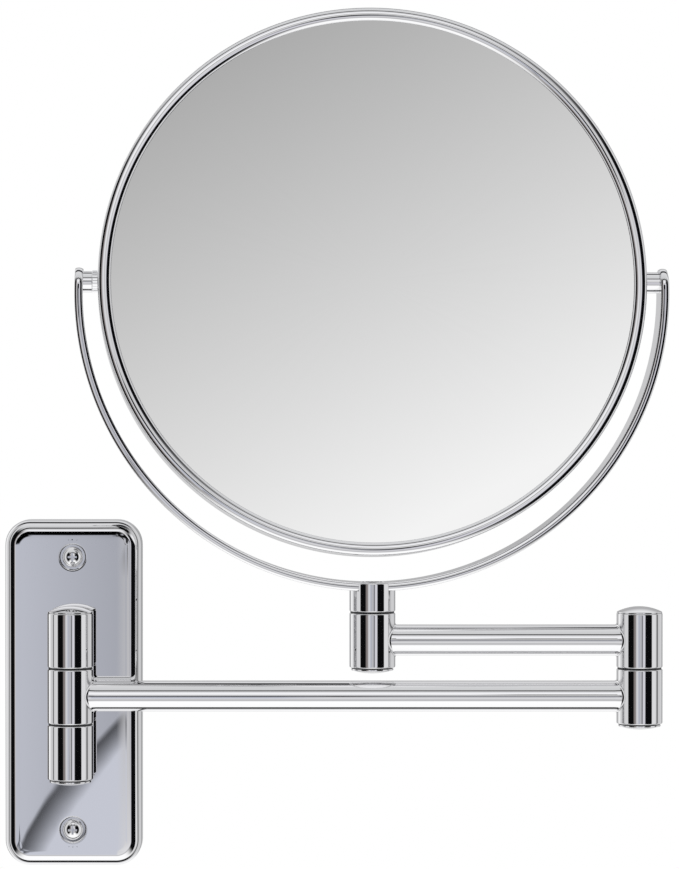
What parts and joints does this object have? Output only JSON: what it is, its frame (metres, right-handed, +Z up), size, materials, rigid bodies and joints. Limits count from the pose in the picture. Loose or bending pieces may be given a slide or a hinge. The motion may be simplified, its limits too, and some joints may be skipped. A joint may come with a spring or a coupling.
{
  "type": "extendable shaving mirror",
  "caption": "Chrome wall-mounted shaving mirror: round two-sided mirror in a half-round yoke, on a folding double arm hinged to a rectangular wall plate.",
  "frame": {"origin": "centre of the wall plate's back, on the wall", "axes": "+Y into the wall, -Y out towards the person, +X along the folded arms, +Z up"},
  "size_m": [0.2466, 0.0657, 0.3184],
  "materials": {
    "chrome": "bright chrome plate",
    "mirror": "back-silvered glass",
    "plated_steel": "zinc plated",
    "nylon": "moulded, matte",
    "spacer": "moulded, matte"
  },
  "bodies": {
    "wall_bracket": {"wall_plate": "chrome", "upper_lug": "chrome", "lower_lug": "chrome", "upper_lug_screw": "plated_steel", "lower_lug_screw": "plated_steel", "upper_wall_screw": "chrome", "lower_wall_screw": "chrome", "wall_hinge_pin": "plated_steel", "wall_hinge_spring_washer": "plated_steel", "wall_hinge_nut": "plated_steel", "wall_hinge_upper_washer": "nylon", "wall_hinge_lower_washer": "nylon", "wall_hinge_top_cap": "chrome", "wall_hinge_bottom_cap": "chrome"},
    "lower_arm": {"lower_arm_tube": "chrome", "lower_arm_wall_knuckle": "chrome", "lower_arm_elbow_knuckle": "chrome", "elbow_pin": "plated_steel", "elbow_spring_washer": "plated_steel", "elbow_nut": "plated_steel", "elbow_washer": "nylon", "elbow_bottom_cap": "chrome"},
    "upper_arm": {"upper_arm_tube": "chrome", "upper_arm_elbow_knuckle": "chrome", "elbow_top_cap": "chrome", "upper_arm_head_knuckle": "chrome", "swivel_bottom_cap": "chrome", "swivel_washer": "nylon"},
    "yoke": {"yoke_band": "chrome", "yoke_socket": "chrome", "yoke_bolt": "chrome", "swivel_spring_washer": "plated_steel", "swivel_nut": "plated_steel", "left_pivot_screw": "chrome", "right_pivot_screw": "chrome", "left_pivot_washer": "chrome", "left_pivot_bush": "chrome", "right_pivot_bush": "chrome"},
    "mirror_head": {"mirror_ring": "chrome", "front_mirror": "mirror", "magnifying_mirror": "mirror", "mirror_spacer": "spacer", "left_pivot_nut": "plated_steel", "right_pivot_nut": "plated_steel"}
  },
  "joints": [
    {"name": "wall_hinge", "type": "hinge", "parent": "wall_bracket", "child": "lower_arm", "pos_m": [0, -0.0225, 0], "axis": [0, 0, 1], "range_deg": [-180, 0]},
    {"name": "elbow", "type": "hinge", "parent": "lower_arm", "child": "upper_arm", "pos_m": [0.21, -0.0225, 0.0207], "axis": [0, 0, 1], "continuous": true},
    {"name": "yoke_swivel", "type": "hinge", "parent": "upper_arm", "child": "yoke", "pos_m": [0.1114, -0.0225, 0.0207], "axis": [0, 0, 1], "continuous": true},
    {"name": "mirror_tilt", "type": "hinge", "parent": "yoke", "child": "mirror_head", "pos_m": [0.1114, -0.0225, 0.15263], "axis": [0.9976, 0.0698, 0], "continuous": true}
  ]
}
